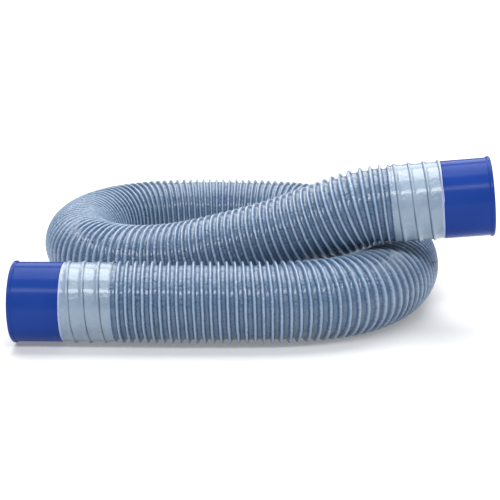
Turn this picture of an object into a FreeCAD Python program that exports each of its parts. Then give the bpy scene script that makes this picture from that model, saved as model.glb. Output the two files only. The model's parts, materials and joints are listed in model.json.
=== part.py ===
# RV sewer hose kit: one length of wire-ribbed vinyl hose laid in a loop, with a
# soft vinyl cuff and a rigid adapter sleeve on each end.
# Units are millimetres. +Z is up, +X runs along the front run of the hose, and
# the hose lies on the plane z = 0.
import FreeCAD, Part
import Sketcher
import math
import os
from FreeCAD import Placement, Rotation, Vector

doc = FreeCAD.newDocument("SewerHoseKit")

# Driving sizes, one row each: alias, value in mm, meaning.
SIZES = [
    ("rib_radius", 41.5, "outside radius of the hose over its ribs"),
    ("film_band", 1.2, "depth of the vinyl outside the wire"),
    ("wire_diameter", 1.4, "spring wire of the helix"),
    ("layer_gap", 0.1, "gap between the vinyl and the wire"),
    ("cuff_length", 50.0, "soft cuff, along the hose"),
    ("ridge_height", 1.3, "cuff ridge above the wall, its top flush with the ribs"),
    ("cuff_wall", 1.4, "cuff wall between its ridges"),
    ("ridge_width", 4.0, "cuff ridge at its foot"),
    ("ridge_crest", 1.2, "cuff ridge at its top"),
    ("ridge_pitch", 15.0, "ridge to ridge"),
    ("ridge_first", 9.0, "hose face to the middle of the first ridge"),
    ("fit_clearance", 0.3, "radial gap between the barrel and the cuff"),
    ("barrel_inset", 2.0, "hose face to the inner end of the barrel"),
    ("seat_clearance", 0.3, "gap between the cuff's rim and the collar"),
    ("barrel_wall", 2.0, "wall of the sleeve inside the cuff"),
    ("lead_in", 1.0, "chamfer on the inner end of the barrel"),
    ("collar_step", 1.5, "radial step from the barrel up to the collar"),
    ("collar_length", 50.0, "sleeve outside the cuff"),
    ("lip_height", 1.2, "rim above the collar"),
    ("lip_width", 3.5, "rim along the collar"),
    ("lip_fillet", 0.5, "rounding of the rim"),
]

# Points that the middle of the hose turns at, from the left cuff to the right
# cuff: front run, right bend, back run, left bend and the run that rises over
# the right bend.
ROUTE = [
    Vector(-144, -31.5, 41.5),
    Vector(-100, -32.5, 41.5),
    Vector(-54, -33, 41.5),
    Vector(-6, -33, 41.5),
    Vector(43, -30, 41.5),
    Vector(89, -15, 41.5),
    Vector(126, 15, 41.5),
    Vector(152, 62, 41.5),
    Vector(163, 125, 41.5),
    Vector(157, 199, 41.5),
    Vector(125, 269, 41.5),
    Vector(67, 319, 41.5),
    Vector(-8, 342, 41.5),
    Vector(-83, 344, 41.5),
    Vector(-151, 327, 41.5),
    Vector(-196, 283, 41.5),
    Vector(-213, 215, 41.5),
    Vector(-199, 150, 41.5),
    Vector(-154, 104, 42.5),
    Vector(-92, 82, 49.5),
    Vector(-30, 67, 67.5),
    Vector(26, 54, 86.5),
    Vector(70, 44, 105.5),
    Vector(93, 38.5, 116.5),
    Vector(116.5, 34.7, 124.8),
    Vector(140, 32.5, 127.2),
]

# Interior points of the route that belong to each stretch of the hose. A
# stretch starts and ends in the middle of a run, or at the end of the route.
STRETCHES = {
    "left_span": (1, 2),
    "right_bend": (3, 10),
    "back_run": (11, 13),
    "left_bend": (14, 18),
    "rising_run": (19, 21),
    "right_span": (22, 24),
}

# Radii from the ribs inwards, each worked out from the one before it.
WIRE_OUTSIDE = "Sizes.rib_radius - Sizes.film_band - Sizes.layer_gap"
WIRE_INSIDE = WIRE_OUTSIDE + " - Sizes.wire_diameter"
CUFF_OUTSIDE = "Sizes.rib_radius - Sizes.ridge_height"
CUFF_BORE = CUFF_OUTSIDE + " - Sizes.cuff_wall"
BARREL = CUFF_BORE + " - Sizes.fit_clearance"
SLEEVE_BORE = BARREL + " - Sizes.barrel_wall"
COLLAR = BARREL + " + Sizes.collar_step"
LIP = COLLAR + " + Sizes.lip_height"

sheet = doc.addObject("Spreadsheet::Sheet", "Sizes")
for row, (alias, value, meaning) in enumerate(SIZES, start=1):
    sheet.set("A%d" % row, alias)
    sheet.set("B%d" % row, str(value))
    sheet.set("C%d" % row, meaning)
    sheet.setAlias("B%d" % row, alias)
doc.recompute()


def corner_arc(index):
    # Arc that rounds one point of the route: its start, middle, end and radius.
    point = ROUTE[index]
    back = ROUTE[index - 1] - point
    ahead = ROUTE[index + 1] - point
    turn = math.pi - back.getAngle(ahead)
    reach = 0.45 * min(back.Length, ahead.Length)
    radius = reach / math.tan(turn / 2)
    back.normalize()
    ahead.normalize()
    inward = back + ahead
    inward.normalize()
    to_centre = math.hypot(reach, radius)
    start = point + back * reach
    middle = point + inward * (to_centre - radius)
    end = point + ahead * reach
    return start, middle, end, radius


def halfway(index):
    # Middle of the run that follows one point of the route.
    return (ROUTE[index] + ROUTE[index + 1]) * 0.5


def stretch_wire(first, last):
    # Straight runs joined by tangent arcs, round interior points first to last.
    here = ROUTE[0] if first == 1 else halfway(first - 1)
    finish = ROUTE[-1] if last == len(ROUTE) - 2 else halfway(last)
    edges = []
    for index in range(first, last + 1):
        start, middle, end, radius = corner_arc(index)
        edges.append(Part.LineSegment(here, start).toShape())
        edges.append(Part.Arc(start, middle, end).toShape())
        print("route point %2d: radius %.0f mm" % (index, radius))
        here = end
    edges.append(Part.LineSegment(here, finish).toShape())
    return Part.Wire(edges)


def add_swept(name, path, radius_expression):
    # Solid round bar along a path, its radius bound to the sheet.
    start = path.Shape.Vertexes[0].Point
    heading = path.Shape.Edges[0].tangentAt(path.Shape.Edges[0].FirstParameter)
    circle = doc.addObject("Part::Circle", name + "_circle")
    circle.setExpression("Radius", radius_expression)
    circle.Placement = Placement(start, Rotation(Vector(0, 0, 1), heading))
    sweep = doc.addObject("Part::Sweep", name)
    sweep.Sections = [circle]
    sweep.Spine = (path, [])
    sweep.Solid = True
    sweep.Frenet = False
    return sweep


def add_tube(label, path, outer_expression, inner_expression):
    tube = doc.addObject("Part::Cut", label)
    tube.Base = add_swept(label + "_outside", path, outer_expression)
    tube.Tool = add_swept(label + "_bore", path, inner_expression)
    tube.Label = label
    return tube


def origin_plane(body, role):
    for feature in body.Origin.OriginFeatures:
        if feature.Role == role:
            return feature


def add_outline(body, name, corners):
    # Closed outline on the body's XZ plane. Each corner is a pair of
    # expressions: distance from the axis and distance along it.
    sketch = body.newObject("Sketcher::SketchObject", name)
    sketch.AttachmentSupport = (origin_plane(body, "XZ_Plane"), [""])
    sketch.MapMode = "FlatFace"
    points = []
    for radius_expression, along_expression in corners:
        radius = float(sketch.evalExpression(radius_expression))
        along = float(sketch.evalExpression(along_expression))
        points.append(Vector(radius, along, 0))
    count = len(points)
    for index in range(count):
        line = Part.LineSegment(points[index], points[(index + 1) % count])
        sketch.addGeometry(line, False)
    for index in range(count):
        following = (index + 1) % count
        sketch.addConstraint(Sketcher.Constraint("Coincident", index, 2, following, 1))
    for index, (radius_expression, along_expression) in enumerate(corners):
        radial = sketch.addConstraint(
            Sketcher.Constraint("DistanceX", -1, 1, index, 1, points[index].x))
        sketch.setExpression("Constraints[%d]" % radial, radius_expression)
        axial = sketch.addConstraint(
            Sketcher.Constraint("DistanceY", -1, 1, index, 1, points[index].y))
        sketch.setExpression("Constraints[%d]" % axial, along_expression)
    return sketch


def add_turned(body, name, corners):
    sketch = add_outline(body, name + "_outline", corners)
    turned = body.newObject("PartDesign::Revolution", name)
    turned.Profile = sketch
    turned.ReferenceAxis = (sketch, ["V_Axis"])
    turned.Angle = 360
    return turned


def add_cuff(label, placement):
    # Soft cuff on the hose end, which is at 0 on its axis.
    body = doc.addObject("PartDesign::Body", label)
    body.Label = label
    add_turned(body, label + "_wall", [
        (CUFF_BORE, "0"),
        (CUFF_OUTSIDE, "0"),
        (CUFF_OUTSIDE, "Sizes.cuff_length"),
        (CUFF_BORE, "Sizes.cuff_length"),
    ])
    root = CUFF_OUTSIDE + " - Sizes.cuff_wall / 2"
    ridge = add_turned(body, label + "_ridge", [
        (root, "Sizes.ridge_first - Sizes.ridge_width / 2"),
        (CUFF_OUTSIDE, "Sizes.ridge_first - Sizes.ridge_width / 2"),
        ("Sizes.rib_radius", "Sizes.ridge_first - Sizes.ridge_crest / 2"),
        ("Sizes.rib_radius", "Sizes.ridge_first + Sizes.ridge_crest / 2"),
        (CUFF_OUTSIDE, "Sizes.ridge_first + Sizes.ridge_width / 2"),
        (root, "Sizes.ridge_first + Sizes.ridge_width / 2"),
    ])
    pattern = body.newObject("PartDesign::LinearPattern", label + "_ridges")
    pattern.Originals = [ridge]
    pattern.Direction = (origin_plane(body, "Z_Axis"), [""])
    pattern.setExpression("Length", "2 * Sizes.ridge_pitch")
    pattern.Occurrences = 3
    body.Tip = pattern
    body.Placement = placement
    return body


def add_sleeve(label, placement):
    # Rigid adapter sleeve: a barrel inside the cuff and a collar outside it.
    body = doc.addObject("PartDesign::Body", label)
    body.Label = label
    seat = "Sizes.cuff_length + Sizes.seat_clearance"
    mouth = seat + " + Sizes.collar_length"
    lip_start = mouth + " - Sizes.lip_width"
    turned = add_turned(body, label + "_wall", [
        (SLEEVE_BORE, "Sizes.barrel_inset"),
        (BARREL + " - Sizes.lead_in", "Sizes.barrel_inset"),
        (BARREL, "Sizes.barrel_inset + Sizes.lead_in"),
        (BARREL, seat),
        (COLLAR, seat),
        (COLLAR, lip_start),
        (LIP, lip_start),
        (LIP, mouth),
        (SLEEVE_BORE, mouth),
    ])
    doc.recompute()
    lip_radius = float(turned.evalExpression(LIP))
    rim_edges = []
    for number, edge in enumerate(turned.Shape.Edges, start=1):
        on_rim = isinstance(edge.Curve, Part.Circle)
        if on_rim and abs(edge.Curve.Radius - lip_radius) < 1e-4:
            rim_edges.append("Edge%d" % number)
    rounding = body.newObject("PartDesign::Fillet", label + "_rim")
    rounding.Base = (turned, rim_edges)
    rounding.setExpression("Radius", "Sizes.lip_fillet")
    body.Tip = rounding
    body.Placement = placement
    return body


parts = []
for stretch_name, (first_point, last_point) in STRETCHES.items():
    stretch_path = doc.addObject("Part::Feature", stretch_name + "_path")
    stretch_path.Shape = stretch_wire(first_point, last_point)
    parts.append(add_tube("film_" + stretch_name, stretch_path,
                          "Sizes.rib_radius",
                          "Sizes.rib_radius - Sizes.film_band"))
    parts.append(add_tube("wire_" + stretch_name, stretch_path,
                          WIRE_OUTSIDE, WIRE_INSIDE))

left_end = Placement(ROUTE[0], Rotation(Vector(0, 0, 1), ROUTE[0] - ROUTE[1]))
right_end = Placement(ROUTE[-1], Rotation(Vector(0, 0, 1), ROUTE[-1] - ROUTE[-2]))
parts.append(add_cuff("left_cuff", left_end))
parts.append(add_sleeve("left_sleeve", left_end))
parts.append(add_cuff("right_cuff", right_end))
parts.append(add_sleeve("right_sleeve", right_end))

doc.recompute()

for item in doc.Objects:
    if "Invalid" in item.State or "Error" in item.State:
        raise RuntimeError("%s did not recompute: %s" % (item.Label, item.State))
for part in parts:
    if part.Shape.isNull() or not part.Shape.isValid():
        raise RuntimeError("%s has no valid shape" % part.Label)

hose_length = sum(
    doc.getObject(name + "_path").Shape.Length for name in STRETCHES)
print("hose between the cuffs: %.1f mm" % hose_length)

os.makedirs("parts", exist_ok=True)
for part in parts:
    part.Shape.exportStep("parts/%s.step" % part.Label)
    box = part.Shape.BoundBox
    print("%-16s %9.0f mm3  x %.1f..%.1f  y %.1f..%.1f  z %.1f..%.1f" % (
        part.Label, part.Shape.Volume, box.XMin, box.XMax,
        box.YMin, box.YMax, box.ZMin, box.ZMax))
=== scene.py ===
import json
import math
import bmesh
import bpy
import numpy as np
from mathutils import Matrix, Vector, noise


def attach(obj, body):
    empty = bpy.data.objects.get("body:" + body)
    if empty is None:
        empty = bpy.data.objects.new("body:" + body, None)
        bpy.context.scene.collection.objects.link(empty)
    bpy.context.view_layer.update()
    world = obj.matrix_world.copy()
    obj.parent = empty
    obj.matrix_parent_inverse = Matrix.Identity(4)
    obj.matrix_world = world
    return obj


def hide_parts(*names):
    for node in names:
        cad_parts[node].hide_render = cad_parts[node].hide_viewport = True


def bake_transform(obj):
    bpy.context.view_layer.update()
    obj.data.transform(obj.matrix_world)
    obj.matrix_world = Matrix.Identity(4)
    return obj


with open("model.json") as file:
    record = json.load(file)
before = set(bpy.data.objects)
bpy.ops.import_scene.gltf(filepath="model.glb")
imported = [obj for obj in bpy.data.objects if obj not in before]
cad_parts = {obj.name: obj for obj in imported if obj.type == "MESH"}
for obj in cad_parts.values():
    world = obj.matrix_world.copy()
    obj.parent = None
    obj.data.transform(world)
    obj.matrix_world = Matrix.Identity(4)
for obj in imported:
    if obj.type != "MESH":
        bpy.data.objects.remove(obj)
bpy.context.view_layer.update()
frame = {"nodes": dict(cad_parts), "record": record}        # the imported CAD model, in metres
ports = {mount["name"]: mount for mount in frame["record"]["mounts"]}
print("frame loaded:", len(frame["nodes"]), "nodes")


# camera

cameraSetup = {
    "place": (-0.008, -1.172, 0.4227),
    "tilt": 74,          # degrees from straight down
    "lens": 86.4,        # mm, on a 36 mm sensor
}


def addCamera(setup):
    data = bpy.data.cameras.new("camera")
    data.lens = setup["lens"]
    data.sensor_width = 36
    camera = bpy.data.objects.new("camera", data)
    camera.location = setup["place"]
    camera.rotation_euler = (math.radians(setup["tilt"]), 0, 0)
    bpy.context.scene.collection.objects.link(camera)
    bpy.context.scene.camera = camera


addCamera(cameraSetup)


# hose line: the route's points, from the left cuff to the right cuff

hoseRoute = [
    (-0.144, -0.0315, 0.0415), (-0.100, -0.0325, 0.0415), (-0.054, -0.033, 0.0415),
    (-0.006, -0.033, 0.0415), (0.043, -0.030, 0.0415), (0.089, -0.015, 0.0415),
    (0.126, 0.015, 0.0415), (0.152, 0.062, 0.0415), (0.163, 0.125, 0.0415),
    (0.157, 0.199, 0.0415), (0.125, 0.269, 0.0415), (0.067, 0.319, 0.0415),
    (-0.008, 0.342, 0.0415), (-0.083, 0.344, 0.0415), (-0.151, 0.327, 0.0415),
    (-0.196, 0.283, 0.0415), (-0.213, 0.215, 0.0415), (-0.199, 0.150, 0.0415),
    (-0.154, 0.104, 0.0425), (-0.092, 0.082, 0.0495), (-0.030, 0.067, 0.0675),
    (0.026, 0.054, 0.0865), (0.070, 0.044, 0.1055), (0.093, 0.0385, 0.1165),
    (0.1165, 0.0347, 0.1248), (0.140, 0.0325, 0.1272),
]

hose = {
    "diameter": 0.083,
    "pitch": 0.0082,         # from one rib to the next
    "wall": 0.0004,
    "columns": 52,           # faces round the hose
    "splitNear": (0.096, 0.294, 0.0415),    # where the back of the right bend ends
    "even": 0.03,            # next to a cuff the ribs keep their even places
    "seat": 0.0393,          # radius at which the film meets a cuff's end
    "seatStart": 0.0008,
    "seatWidth": 0.0035,
}

# how the film strays from its even shape: how far in metres, and how fine the noise is
uneven = {
    "lean": (0.00045, 28),       # a rib along the hose
    "wobble": (0.0003, 95),      # the same over a short stretch of the rib
    "pitch": (0.0008, 22),       # from one rib to the next
    "sag": (0.0004, 45),         # the whole film inwards
    "crumple": (0.0009, 150),    # small folds in the valleys
}

# one rib: share of the pitch from the crest, and how far the film is below the crest
ribProfile = [
    (-0.38, 0.0044), (-0.235, 0.0036), (-0.155, 0.0014), (-0.085, 0.00022), (0, 0),
    (0.085, 0.00022), (0.155, 0.0014), (0.235, 0.0036), (0.38, 0.0044),
]


def readLine(route):
    curve = bpy.data.curves.new("hoseLine", "CURVE")
    curve.dimensions = "3D"
    curve.resolution_u = 24
    spline = curve.splines.new("NURBS")
    spline.points.add(len(route) - 1)
    for point, place in zip(spline.points, route):
        point.co = (*place, 1)
    spline.order_u = 3
    spline.use_endpoint_u = True
    line = bpy.data.objects.new("hoseLine", curve)
    bpy.context.scene.collection.objects.link(line)
    bpy.context.view_layer.update()
    mesh = bpy.data.meshes.new_from_object(line)
    points = np.array([vertex.co for vertex in mesh.vertices], float)
    bpy.data.meshes.remove(mesh)
    bpy.data.objects.remove(line)
    return points


class HoseLine:
    # the smooth line with a side direction carried along it, so that nothing twists

    def __init__(self, points):
        self.points = points
        steps = np.linalg.norm(np.diff(points, axis=0), axis=1)
        self.along = np.concatenate([[0], np.cumsum(steps)])
        self.length = self.along[-1]
        self.heading = np.gradient(points, self.along, axis=0)
        self.heading /= np.linalg.norm(self.heading, axis=1)[:, None]
        side = np.cross(self.heading[0], (0, 0, 1))
        self.side = np.zeros_like(points)
        for i, heading in enumerate(self.heading):
            side = side - heading * (side @ heading)
            side = side / np.linalg.norm(side)
            self.side[i] = side

    def at(self, along):
        # centre, heading and side at each distance; past an end the line runs on straight
        held = np.clip(along, 0, self.length)
        centre, heading, side = (
            np.stack([np.interp(held, self.along, values[:, k]) for k in range(3)], -1)
            for values in (self.points, self.heading, self.side)
        )
        heading /= np.linalg.norm(heading, axis=-1, keepdims=True)
        side -= heading * np.sum(side * heading, -1, keepdims=True)
        side /= np.linalg.norm(side, axis=-1, keepdims=True)
        return centre + heading * (along - held)[..., None], heading, side


hoseLine = HoseLine(readLine(hoseRoute))
print("hose line:", round(hoseLine.length, 4), "m")


def strayBy(kind, places):
    amount, scale = uneven[kind]
    return amount * np.array([noise.noise(Vector(place * scale)) for place in places])


def straightPlace(along, angle, radius):
    # where a point would be if the hose lay straight
    return np.stack([radius * np.cos(angle), radius * np.sin(angle), along], -1)


def fromCuff(along):
    return np.minimum(along, hoseLine.length - along)


def strayed(along, straight):
    # where a rib really runs
    share = np.clip(fromCuff(along) / hose["even"], 0, 1)
    return along + share * (
        strayBy("lean", straight)
        + strayBy("wobble", straight)
        + strayBy("pitch", straight * (0, 0, 1))
    )


def sagAt(straight):
    return 0.5 * uneven["sag"][0] + 0.5 * strayBy("sag", straight)


def ribPlaces(rows, columns):
    # a rib climbs one pitch as it goes once round, so row and column give turn and angle
    shares = np.array([share for share, drop in ribProfile])
    drops = np.array([drop for share, drop in ribProfile])
    angle = columns / hose["columns"] * 2 * math.pi
    turn = rows // len(ribProfile) + shares[rows % len(ribProfile)]
    along = (turn + columns / hose["columns"]) * hose["pitch"]
    drop = drops[rows % len(ribProfile)]
    straight = straightPlace(along, angle, hose["diameter"] / 2)
    valley = drop / drops.max()
    fold = valley * strayBy("crumple", straight)
    radius = hose["diameter"] / 2 - drop - sagAt(straight) - fold
    clear = np.clip((fromCuff(along) - hose["seatStart"]) / hose["seatWidth"], 0, 1)
    radius = hose["seat"] + clear * (radius - hose["seat"])
    return strayed(along, straight), angle, radius, 1 - valley, straight


def wrapOnLine(along, angle, radius):
    centre, heading, side = hoseLine.at(along)
    up = np.cross(heading, side)
    out = side * np.cos(angle)[:, None] + up * np.sin(angle)[:, None]
    return centre + out * radius[:, None], out, heading


def newMesh(name, vertices, faces):
    mesh = bpy.data.meshes.new(name)
    mesh.from_pydata(vertices.tolist(), [], faces)
    piece = bpy.data.objects.new(name, mesh)
    bpy.context.scene.collection.objects.link(piece)
    return piece


def activate(piece):
    bpy.ops.object.select_all(action="DESELECT")
    piece.select_set(True)
    bpy.context.view_layer.objects.active = piece


def editPiece(piece, selectMode="FACE"):
    activate(piece)
    bpy.ops.object.mode_set(mode="EDIT")
    bpy.ops.mesh.select_mode(type=selectMode)


def pickFaces(piece, wanted):
    mesh = bmesh.from_edit_mesh(piece.data)
    for face in mesh.faces:
        face.select_set(wanted(face))
    bmesh.update_edit_mesh(piece.data)


def applyModifiers(piece):
    activate(piece)
    for modifier in list(piece.modifiers):
        bpy.ops.object.modifier_apply(modifier=modifier.name)


def makeFilm(name, firstRow, lastRow, trimAt):
    # a sheet that spirals round the line, row by row, then gets its wall thickness
    perTurn, columns = len(ribProfile), hose["columns"]
    rowCount = lastRow - firstRow + 1
    rows, cols = np.meshgrid(
        np.arange(firstRow, lastRow + 1), np.arange(columns), indexing="ij"
    )
    rows = np.concatenate([rows.ravel(), lastRow + 1 + np.arange(perTurn)])
    cols = np.concatenate([cols.ravel(), np.zeros(perTurn, int)])
    along, angle, radius, crest, straight = ribPlaces(rows, cols)

    def index(row, column):
        if column == columns:
            row, column = row + perTurn, 0
        if row >= rowCount:
            return rowCount * columns + row - rowCount
        return row * columns + column

    faces = [
        (index(r, c), index(r, c + 1), index(r + 1, c + 1), index(r + 1, c))
        for r in range(rowCount - 1)
        for c in range(columns)
    ]
    film = newMesh(name, wrapOnLine(along, angle, radius)[0], faces)
    # crest is 1 on a rib's crest and 0 in a valley; the film's colour uses it for painted
    # shade in the valleys and a painted highlight on the crests
    film.data.attributes.new("crest", "FLOAT", "POINT").data.foreach_set("value", crest)
    film.data.attributes.new("straightHose", "FLOAT_VECTOR", "POINT").data.foreach_set(
        "vector", straight.ravel()
    )
    centre, heading, side = (values[0] for values in hoseLine.at(np.array([trimAt])))
    reach = 0.75 * hose["diameter"]
    editPiece(film)
    pickFaces(film, lambda face: (face.calc_center_median() - Vector(centre)).length < reach)
    bpy.ops.mesh.bisect(
        plane_co=centre, plane_no=heading,
        clear_inner=trimAt == 0, clear_outer=trimAt > 0,
    )
    bpy.ops.object.mode_set(mode="OBJECT")
    solidify = film.modifiers.new("wall", "SOLIDIFY")
    solidify.thickness = hose["wall"]
    solidify.offset = -1
    solidify.use_even_offset = True
    applyModifiers(film)
    bpy.ops.object.shade_smooth_by_angle(angle=math.radians(70))
    return film


fromSplit = np.linalg.norm(hoseLine.points - hose["splitNear"], axis=1)
splitTurn = round(hoseLine.along[fromSplit.argmin()] / hose["pitch"])
splitRow = splitTurn * len(ribProfile)
spareRows = 2 * len(ribProfile)
lastTurn = math.ceil(hoseLine.length / hose["pitch"]) + 1
filmLeft = makeFilm("hoseFilmLeft", -spareRows, splitRow, 0)
filmRight = makeFilm(
    "hoseFilmRight", splitRow, lastTurn * len(ribProfile), hoseLine.length
)
print("film:", len(filmLeft.data.polygons), "and", len(filmRight.data.polygons), "faces")


# spring wire, wound under the film's ribs

wire = {
    "diameter": 0.0014,
    "gap": 0.0001,           # from the film's inner side
    "stepsPerTurn": 36,
    "sides": 6,              # faces round the wire
    "endInset": 0.002,       # it stops short of the hose's end faces
}


def makeWire(name, fromTurn, toTurn):
    count = math.ceil((toTurn - fromTurn) * wire["stepsPerTurn"]) + 1
    sides, wireRadius = wire["sides"], wire["diameter"] / 2
    turn = np.linspace(fromTurn, toTurn, count)
    angle = turn % 1 * 2 * math.pi
    along = turn * hose["pitch"]
    straight = straightPlace(along, angle, hose["diameter"] / 2)
    below = hose["wall"] + wire["gap"] + wireRadius
    radius = hose["diameter"] / 2 - sagAt(straight) - below
    core, out, heading = wrapOnLine(strayed(along, straight), angle, radius)
    rings = []
    for k in range(sides):
        roll = k / sides * 2 * math.pi
        rings.append(core + (out * math.cos(roll) + heading * math.sin(roll)) * wireRadius)
    vertices = np.stack(rings, 1).reshape(-1, 3)
    faces = [
        (r * sides + k, r * sides + (k + 1) % sides,
         (r + 1) * sides + (k + 1) % sides, (r + 1) * sides + k)
        for r in range(count - 1)
        for k in range(sides)
    ]
    faces.append(tuple(range(sides))[::-1])
    faces.append(tuple((count - 1) * sides + k for k in range(sides)))
    piece = newMesh(name, vertices, faces)
    editPiece(piece)
    bpy.ops.mesh.select_all(action="SELECT")
    bpy.ops.mesh.normals_make_consistent(inside=False)
    bpy.ops.object.mode_set(mode="OBJECT")
    bpy.ops.object.shade_smooth_by_angle(angle=math.radians(60))
    return piece


inset = wire["endInset"] / hose["pitch"]
wireLeft = makeWire("springWireLeft", inset, splitTurn)
wireRight = makeWire("springWireRight", splitTurn, hoseLine.length / hose["pitch"] - inset)
print("wire:", len(wireLeft.data.polygons) + len(wireRight.data.polygons), "faces")


# pieces drawn as a profile: distance from the axis, distance along it

def drawProfile(name, points):
    bpy.ops.object.select_all(action="DESELECT")
    bpy.ops.mesh.primitive_plane_add(size=0.01)
    piece = bpy.context.object
    piece.name = piece.data.name = name
    bpy.ops.object.mode_set(mode="EDIT")
    bpy.ops.mesh.select_mode(type="VERT")
    bpy.ops.mesh.select_all(action="SELECT")
    bpy.ops.mesh.merge(type="CENTER")
    bpy.ops.transform.translate(value=(points[0][0], 0, points[0][1]))
    for here, there in zip(points, points[1:]):
        step = (there[0] - here[0], 0, there[1] - here[1])
        bpy.ops.mesh.extrude_vertices_move(TRANSFORM_OT_translate={"value": step})
    bpy.ops.mesh.select_all(action="SELECT")
    return piece


def placeAlong(piece, base, axis, turn=0):
    # the profile's own axis is Z; it is laid along axis, from base
    activate(piece)
    lay = Vector(axis).to_track_quat("Z", "Y").to_matrix().to_4x4()
    piece.matrix_world = (
        Matrix.Translation(base) @ lay @ Matrix.Rotation(math.radians(turn), 4, "Z")
    )
    bpy.ops.object.transform_apply()


# cuffs

cuff = {
    "length": 0.050,
    "radius": 0.0398,
    "wall": 0.0009,
    "ridgePitch": 0.015,
    "ridgeHeight": 0.0016,
    "steps": 90,             # faces round the cuff
    "sag": 0.00035,          # how far the band between two ridges sinks
    "waviness": 0.0003,
    "waveSize": 0.035,
    "beadWidth": 0.0016,     # the pale bead at the outer rim
    "turns": {"left": 180, "right": 86},     # degrees, where each one's ridge starts
}

# one turn of the ridge: mm along the cuff, share of the ridge's height, how much painted shade
# falls in its crease
ridgeShape = [
    (0, 0, 0), (0.4, -0.04, 0.2), (0.9, -0.1, 1), (1.35, 0.05, 0.9), (1.8, 0.6, 0.1),
    (2.3, 0.95, 0), (2.9, 1, 0), (3.5, 0.9, 0), (4.4, 0.55, 0), (5.4, 0.22, 0), (6.6, 0, 0),
]


def makeCuff(name):
    flat = [(share, -cuff["sag"] * math.sin(math.pi * share)) for share in (0.25, 0.5, 0.75)]
    ridgeEnd = ridgeShape[-1][0] / 1000
    band = cuff["ridgePitch"] - ridgeEnd
    profile = [
        (cuff["radius"] + share * cuff["ridgeHeight"], along / 1000)
        for along, share, crease in ridgeShape
    ]
    profile += [(cuff["radius"] + drop, ridgeEnd + share * band) for share, drop in flat]
    profile.append((cuff["radius"], cuff["ridgePitch"]))
    piece = drawProfile(name, profile)
    bpy.ops.transform.translate(value=(0, 0, -cuff["ridgePitch"]))
    bpy.ops.object.mode_set(mode="OBJECT")
    screw = piece.modifiers.new("thread", "SCREW")
    screw.axis = "Z"
    screw.angle = 2 * math.pi
    screw.screw_offset = cuff["ridgePitch"]
    screw.iterations = math.ceil(cuff["length"] / cuff["ridgePitch"]) + 1
    screw.steps = screw.render_steps = cuff["steps"]
    applyModifiers(piece)
    editPiece(piece)
    bpy.ops.mesh.select_all(action="SELECT")
    bpy.ops.mesh.remove_doubles(threshold=1e-6)
    bpy.ops.mesh.normals_make_consistent(inside=False)
    bpy.ops.mesh.bisect(plane_co=(0, 0, 0), plane_no=(0, 0, 1), clear_inner=True)
    bpy.ops.mesh.select_all(action="SELECT")
    bpy.ops.mesh.bisect(
        plane_co=(0, 0, cuff["length"]), plane_no=(0, 0, 1), clear_outer=True
    )
    bpy.ops.mesh.select_all(action="SELECT")
    beadStart = cuff["length"] - cuff["beadWidth"]
    bpy.ops.mesh.bisect(plane_co=(0, 0, beadStart), plane_no=(0, 0, 1))
    pickFaces(piece, lambda face: face.calc_center_median().z > beadStart)
    bpy.ops.object.mode_set(mode="OBJECT")
    for polygon in piece.data.polygons:
        polygon.material_index = int(polygon.select)
    turn = [math.atan2(v.co.y, v.co.x) / 2 / math.pi for v in piece.data.vertices]
    climb = [v.co.z / cuff["ridgePitch"] for v in piece.data.vertices]
    phase = (np.array(climb) - np.array(turn)) % 1 * cuff["ridgePitch"] * 1000
    placesMm, heights, creases = zip(*ridgeShape)
    # this attribute carries painted shade into the groove beside each ridge
    creaseShade = piece.data.attributes.new("creaseShade", "FLOAT", "POINT")
    creaseShade.data.foreach_set("value", np.interp(phase, placesMm, creases))
    clouds = bpy.data.textures.new(name + "Waves", "CLOUDS")
    clouds.noise_scale = cuff["waveSize"]
    waves = piece.modifiers.new("waves", "DISPLACE")
    waves.texture = clouds
    waves.strength = cuff["waviness"]
    waves.mid_level = 0.5
    solidify = piece.modifiers.new("wall", "SOLIDIFY")
    solidify.thickness = cuff["wall"]
    solidify.offset = -1
    applyModifiers(piece)
    bpy.ops.object.shade_smooth_by_angle(angle=math.radians(50))
    return piece


# sleeves

sleeve = {
    "bore": 0.0365,
    "barrel": 0.0385,        # outside radius of the part inside the cuff
    "collar": 0.0400,        # outside radius of the part that shows
    "collarLength": 0.050,
    "lip": 0.0412,
    "lipWidth": 0.0035,
    "lipSlope": 0.0012,
    "rimRound": 0.0006,
    "leadIn": 0.001,
    "steps": 120,            # faces round the sleeve
    "edge": 0.00045,         # how round the moulded edges are
}


def makeSleeve(name, length):
    shoulder = length - sleeve["collarLength"]
    lipStart, slope = length - sleeve["lipWidth"], sleeve["lipSlope"]
    profile = [
        (sleeve["bore"], 0), (sleeve["barrel"] - sleeve["leadIn"], 0),
        (sleeve["barrel"], sleeve["leadIn"]), (sleeve["barrel"], shoulder),
        (sleeve["collar"], shoulder), (sleeve["collar"], lipStart - slope),
        (sleeve["lip"], lipStart), (sleeve["lip"], length - slope),
        (sleeve["lip"] - slope, length), (sleeve["bore"] + sleeve["rimRound"], length),
        (sleeve["bore"], length - sleeve["rimRound"]), (sleeve["bore"], 0),
    ]
    piece = drawProfile(name, profile)
    bpy.ops.mesh.remove_doubles(threshold=1e-6)
    bpy.ops.mesh.select_all(action="SELECT")
    bpy.ops.mesh.spin(
        steps=sleeve["steps"], angle=2 * math.pi, center=(0, 0, 0), axis=(0, 0, 1)
    )
    bpy.ops.mesh.select_all(action="SELECT")
    bpy.ops.mesh.remove_doubles(threshold=1e-6)
    bpy.ops.mesh.normals_make_consistent(inside=False)
    bpy.ops.object.mode_set(mode="OBJECT")
    bevel = piece.modifiers.new("edges", "BEVEL")
    bevel.width = sleeve["edge"]
    bevel.segments = 3
    bevel.limit_method = "ANGLE"
    bevel.angle_limit = math.radians(20)
    applyModifiers(piece)
    bpy.ops.object.shade_smooth_by_angle(angle=math.radians(35))
    return piece


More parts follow.
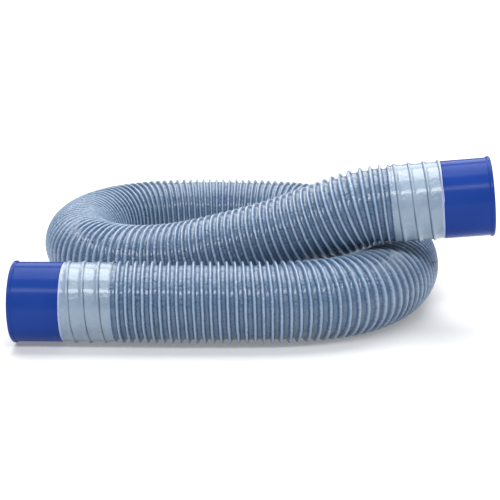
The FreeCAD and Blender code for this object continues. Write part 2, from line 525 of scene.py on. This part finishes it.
ends = {}
for side in ("left", "right"):
    port = ports[side + "_port"]
    rim = Vector(port["pos_m"])
    axis = Vector(port["axis"])
    sleeveLength = port["dims"]["length_mm"] / 1000
    hoseEnd = hoseLine.points[0 if side == "left" else -1]
    newCuff = makeCuff(side + "Cuff")
    placeAlong(newCuff, hoseEnd, axis, cuff["turns"][side])
    newSleeve = makeSleeve(side + "Sleeve", sleeveLength)
    placeAlong(newSleeve, rim - axis * sleeveLength, axis)
    ends[side] = (newCuff, newSleeve)
print("cuffs and sleeves made")


# materials

def fromSrgb(red, green, blue):
    shades = [value / 255 for value in (red, green, blue)]
    linear = [s / 12.92 if s < 0.04045 else ((s + 0.055) / 1.055) ** 2.4 for s in shades]
    return (*linear, 1)


class Finish:
    # a material with its nodes, made step by step

    def __init__(self, name, **sockets):
        self.material = bpy.data.materials.new(name)
        self.material.use_nodes = True
        self.tree = self.material.node_tree
        self.shader = self.tree.nodes["Principled BSDF"]
        for socket, value in sockets.items():
            self.shader.inputs[socket.replace("_", " ")].default_value = value

    def add(self, kind, **settings):
        node = self.tree.nodes.new("ShaderNode" + kind)
        for setting, value in settings.items():
            setattr(node, setting, value)
        return node

    def link(self, output, target):
        self.tree.links.new(output, target)

    def coordinates(self, attribute=None, scale=(1, 1, 1)):
        if attribute:
            source = self.add("Attribute", attribute_name=attribute).outputs["Vector"]
        else:
            source = self.add("TexCoord").outputs["Object"]
        mapping = self.add("Mapping")
        mapping.inputs["Scale"].default_value = scale
        self.link(source, mapping.inputs["Vector"])
        return mapping.outputs["Vector"]

    def noise(self, vector, scale, detail=2, roughness=0.5):
        node = self.add("TexNoise")
        node.inputs["Scale"].default_value = scale
        node.inputs["Detail"].default_value = detail
        node.inputs["Roughness"].default_value = roughness
        self.link(vector, node.inputs["Vector"])
        return node.outputs["Fac"]

    def cells(self, vector, scale):
        node = self.add("TexVoronoi")
        node.inputs["Scale"].default_value = scale
        self.link(vector, node.inputs["Vector"])
        return node.outputs["Distance"]

    def math(self, operation, first, second):
        node = self.add("Math", operation=operation)
        for socket, value in zip(node.inputs, (first, second)):
            if isinstance(value, (int, float)):
                socket.default_value = value
            else:
                self.link(value, socket)
        return node.outputs[0]

    def ramp(self, factor, *stops):
        node = self.add("ValToRGB")
        elements = node.color_ramp.elements
        while len(elements) < len(stops):
            elements.new(0.5)
        for element, (position, colour) in zip(elements, stops):
            element.position = position
            element.color = colour
        self.link(factor, node.inputs["Fac"])
        return node.outputs["Color"]

    def remap(self, value, low, high, fromLow=0, fromHigh=1):
        node = self.add("MapRange")
        for socket, number in (
            ("From Min", fromLow), ("From Max", fromHigh), ("To Min", low), ("To Max", high)
        ):
            node.inputs[socket].default_value = number
        self.link(value, node.inputs["Value"])
        return node.outputs["Result"]

    def bump(self, height, distance, strength=1):
        node = self.add("Bump")
        node.inputs["Strength"].default_value = strength
        node.inputs["Distance"].default_value = distance
        self.link(height, node.inputs["Height"])
        self.link(node.outputs["Normal"], self.shader.inputs["Normal"])


def filmFinish():
    finish = Finish(
        "hoseFilm", Specular_IOR_Level=0.5, Coat_Weight=0.7, Coat_Roughness=0.07
    )
    crest = finish.add("Attribute", attribute_name="crest").outputs["Fac"]
    place = finish.coordinates("straightHose")
    patches = finish.noise(place, 22)
    creases = finish.noise(place, 420, 3, 0.6)
    # painted light: the colour is darkest just beside each rib and dark in the valleys
    # (painted shade), and light on the crests (painted highlight); the two noises add random
    # tone
    paintedShadeAndTone = finish.math("ADD", crest, finish.remap(patches, -0.12, 0.12, 0.3, 0.7))
    paintedShadeAndTone = finish.math("ADD", paintedShadeAndTone, finish.remap(creases, -0.14, 0.14, 0.3, 0.7))
    colour = finish.ramp(
        paintedShadeAndTone,
        (0.0, fromSrgb(86, 110, 137)), (0.25, fromSrgb(52, 78, 115)),
        (0.6, fromSrgb(92, 118, 150)), (0.95, fromSrgb(137, 159, 184)),
    )
    finish.link(colour, finish.shader.inputs["Base Color"])
    finish.link(finish.remap(patches, 0.28, 0.42, 0.3, 0.7), finish.shader.inputs["Roughness"])
    pits = finish.remap(finish.cells(place, 190), 0, 0.7, 0, 0.4)
    finish.bump(finish.math("ADD", creases, pits), 0.0014, 0.9)
    return finish.material


def wireFinish():
    finish = Finish("springSteel", Metallic=1.0)
    grain = finish.noise(finish.coordinates(), 300)
    colour = finish.ramp(grain, (0.3, fromSrgb(120, 124, 130)), (0.7, fromSrgb(176, 180, 186)))
    finish.link(colour, finish.shader.inputs["Base Color"])
    finish.link(finish.remap(grain, 0.25, 0.4), finish.shader.inputs["Roughness"])
    return finish.material


def cuffFinish():
    finish = Finish("cuffVinyl", Coat_Weight=0.6, Coat_Roughness=0.08)
    place = finish.coordinates()
    clouds = finish.noise(place, 35)
    grain = finish.noise(place, 110, 3, 0.65)
    creaseShade = finish.add("Attribute", attribute_name="creaseShade").outputs["Fac"]
    # the ramp's dark end is painted shade in each ridge's groove; the clouds noise gives
    # random tone
    colour = finish.ramp(
        finish.math("SUBTRACT", clouds, finish.math("MULTIPLY", creaseShade, 0.5)),
        (0.0, fromSrgb(66, 86, 112)), (0.3, fromSrgb(124, 142, 162)),
        (0.7, fromSrgb(138, 156, 176)),
    )
    finish.link(colour, finish.shader.inputs["Base Color"])
    finish.link(finish.remap(clouds, 0.24, 0.36, 0.3, 0.7), finish.shader.inputs["Roughness"])
    finish.bump(grain, 0.0026, 0.6)
    return finish.material


def beadFinish():
    finish = Finish("cuffBead", Coat_Weight=0.2)
    grain = finish.noise(finish.coordinates(), 200)
    colour = finish.ramp(grain, (0.3, fromSrgb(150, 160, 204)), (0.7, fromSrgb(164, 174, 214)))
    finish.link(colour, finish.shader.inputs["Base Color"])
    finish.link(finish.remap(grain, 0.3, 0.45), finish.shader.inputs["Roughness"])
    return finish.material


def sleeveFinish():
    finish = Finish("sleevePlastic", Specular_IOR_Level=0.08)
    place = finish.coordinates()
    clouds = finish.noise(place, 18)
    grain = finish.noise(place, 700, 2)
    colour = finish.ramp(clouds, (0.3, fromSrgb(26, 56, 130)), (0.7, fromSrgb(32, 62, 140)))
    finish.link(colour, finish.shader.inputs["Base Color"])
    finish.link(finish.remap(grain, 0.14, 0.2, 0.3, 0.7), finish.shader.inputs["Roughness"])
    finish.bump(grain, 0.0001, 0.2)
    return finish.material


def floorFinish():
    finish = Finish(
        "paleFloor", Roughness=0.9, Specular_IOR_Level=0.1,
        Emission_Color=(1, 1, 1, 1), Emission_Strength=0.22,
    )
    clouds = finish.noise(finish.coordinates(), 3)
    colour = finish.ramp(clouds, (0.3, (0.60, 0.61, 0.62, 1)), (0.7, (0.62, 0.63, 0.64, 1)))
    finish.link(colour, finish.shader.inputs["Base Color"])
    return finish.material


filmVinyl, springSteel = filmFinish(), wireFinish()
cuffVinyl, beadVinyl, sleevePlastic = cuffFinish(), beadFinish(), sleeveFinish()
for piece, finishes in (
    (filmLeft, [filmVinyl]), (filmRight, [filmVinyl]),
    (wireLeft, [springSteel]), (wireRight, [springSteel]),
    (ends["left"][0], [cuffVinyl, beadVinyl]), (ends["right"][0], [cuffVinyl, beadVinyl]),
    (ends["left"][1], [sleevePlastic]), (ends["right"][1], [sleevePlastic]),
):
    for material in finishes:
        piece.data.materials.append(material)
print("materials made")


# what rides on what

split = hoseLine.at(np.array([splitTurn * hose["pitch"]]))[0][0]
beforeSplit = hoseLine.along < splitTurn * hose["pitch"]
halves = {
    "left": (filmLeft, wireLeft, np.vstack([hoseLine.points[beforeSplit], split])),
    "right": (filmRight, wireRight, np.vstack([split, hoseLine.points[~beforeSplit]])),
}
stoodFor = {
    "left": ("left_span", "right_bend"),
    "right": ("back_run", "left_bend", "rising_run", "right_span"),
}
for side, (film, coil, path) in halves.items():
    for piece, node, slot in ((film, "film_", "hose_film"), (coil, "wire_", "spring_wire")):
        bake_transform(piece)
        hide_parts(*(node + stretch for stretch in stoodFor[side]))
    newCuff, newSleeve = ends[side]
    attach(newCuff, side + "_end")
    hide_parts(side + "_cuff")
    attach(newSleeve, side + "_adapter")
    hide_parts(side + "_sleeve")


# studio

studio = {
    "floorSize": 12,
    "strip": {
        "place": (0, -1.14, 1.34), "size": (2.6, 0.3), "power": 26, "aim": (0, 0.05, 0.06),
    },
    "top": {"place": (0, 0.9, 3.0), "size": (3.6, 2.6), "power": 150, "aim": (0, 0.1, 0)},
    "back": {"place": (0, 5.2, 2.6), "size": (9, 5), "power": 330, "aim": (0, 5.3, 0)},
    "surround": 0.16,
}


def addFloor():
    bpy.ops.object.select_all(action="DESELECT")
    bpy.ops.mesh.primitive_plane_add(size=studio["floorSize"])
    floor = bpy.context.object
    floor.name = "studioFloor"
    floor.data.materials.append(floorFinish())


def addLight(name):
    setup = studio[name]
    data = bpy.data.lights.new(name + "Light", "AREA")
    data.shape = "RECTANGLE"
    data.size, data.size_y = setup["size"]
    data.energy = setup["power"]
    light = bpy.data.objects.new(name + "Light", data)
    light.location = setup["place"]
    aim = Vector(setup["aim"]) - light.location
    light.rotation_euler = aim.to_track_quat("-Z", "Y").to_euler()
    bpy.context.scene.collection.objects.link(light)


def addSurround():
    world = bpy.data.worlds.new("surround")
    world.use_nodes = True
    background = world.node_tree.nodes["Background"]
    background.inputs["Color"].default_value = (1, 1, 1, 1)
    background.inputs["Strength"].default_value = studio["surround"]
    bpy.context.scene.world = world


addFloor()
for name in ("strip", "top", "back"):
    addLight(name)
addSurround()
bpy.context.scene.view_settings.view_transform = "Standard"
print("studio ready")
